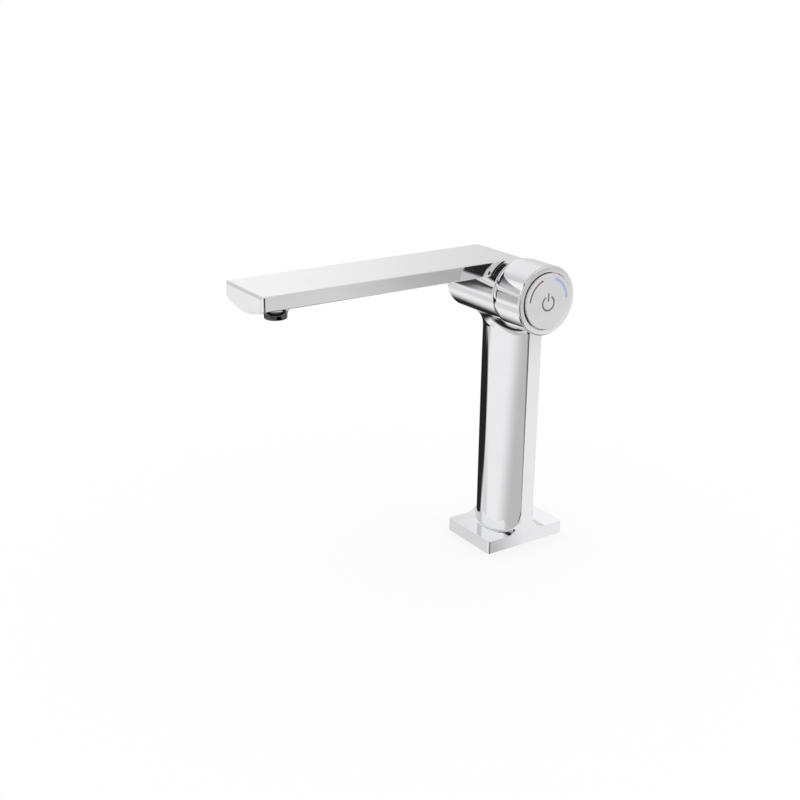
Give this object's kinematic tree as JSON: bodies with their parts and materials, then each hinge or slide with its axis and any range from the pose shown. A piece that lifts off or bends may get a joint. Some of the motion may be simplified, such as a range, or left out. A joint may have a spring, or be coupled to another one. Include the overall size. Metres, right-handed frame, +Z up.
{
  "type": "basin mixer tap",
  "caption": "Basin mixer tap with a flat spout, a slim column and a side knob that sets the temperature and has a push button for the water.",
  "frame": {"origin": "centre of the foot's underside", "axes": "+Z up out of the basin deck, -Y towards the user along the spout, +X towards the knob"},
  "size_m": [0.0763, 0.2248, 0.2002],
  "materials": {
    "chrome": "polished chrome plate",
    "button_face": "fine satin chrome",
    "steel": "stainless steel",
    "brass": "turned brass",
    "copper": "drawn copper tube",
    "rubber": "matt rubber",
    "white_plastic": "matt moulded plastic",
    "black_plastic": "matt moulded plastic"
  },
  "bodies": {
    "body": {"tap_body": "chrome", "spout_shell": "chrome", "aerator_housing": "chrome", "aerator_grid": "white_plastic", "aerator_diffuser": "white_plastic", "aerator_screen": "steel", "aerator_seal": "rubber", "cartridge_housing": "brass", "cartridge_rings": "rubber", "spindle_ring": "rubber", "cartridge_nut": "brass", "glide_ring": "black_plastic", "inlet_block": "brass", "block_screws": "steel", "hot_supply_tube": "copper", "cold_supply_tube": "copper", "base_gasket": "rubber"},
    "knob": {"knob_sleeve": "chrome", "knob_carrier": "black_plastic", "knob_grub_screw": "steel", "temperature_spindle": "brass", "mixing_drum": "steel"},
    "button": {"push_button": "button_face", "push_rod": "steel", "rod_clip": "steel", "shutoff_piston": "black_plastic", "piston_rings": "rubber", "return_spring": "steel"}
  },
  "joints": [
    {"name": "knob_turn", "type": "hinge", "parent": "body", "child": "knob", "pos_m": [0, -0.0177, 0.1786], "axis": [1, 0, 0], "range_deg": [-60, 60]},
    {"name": "button_press", "type": "slide", "parent": "body", "child": "button", "axis": [-1, 0, 0], "range_m": [0, 0.003], "stiffness_N_per_m": 600, "springref_m": -0.001, "deforming": ["return_spring"]}
  ]
}
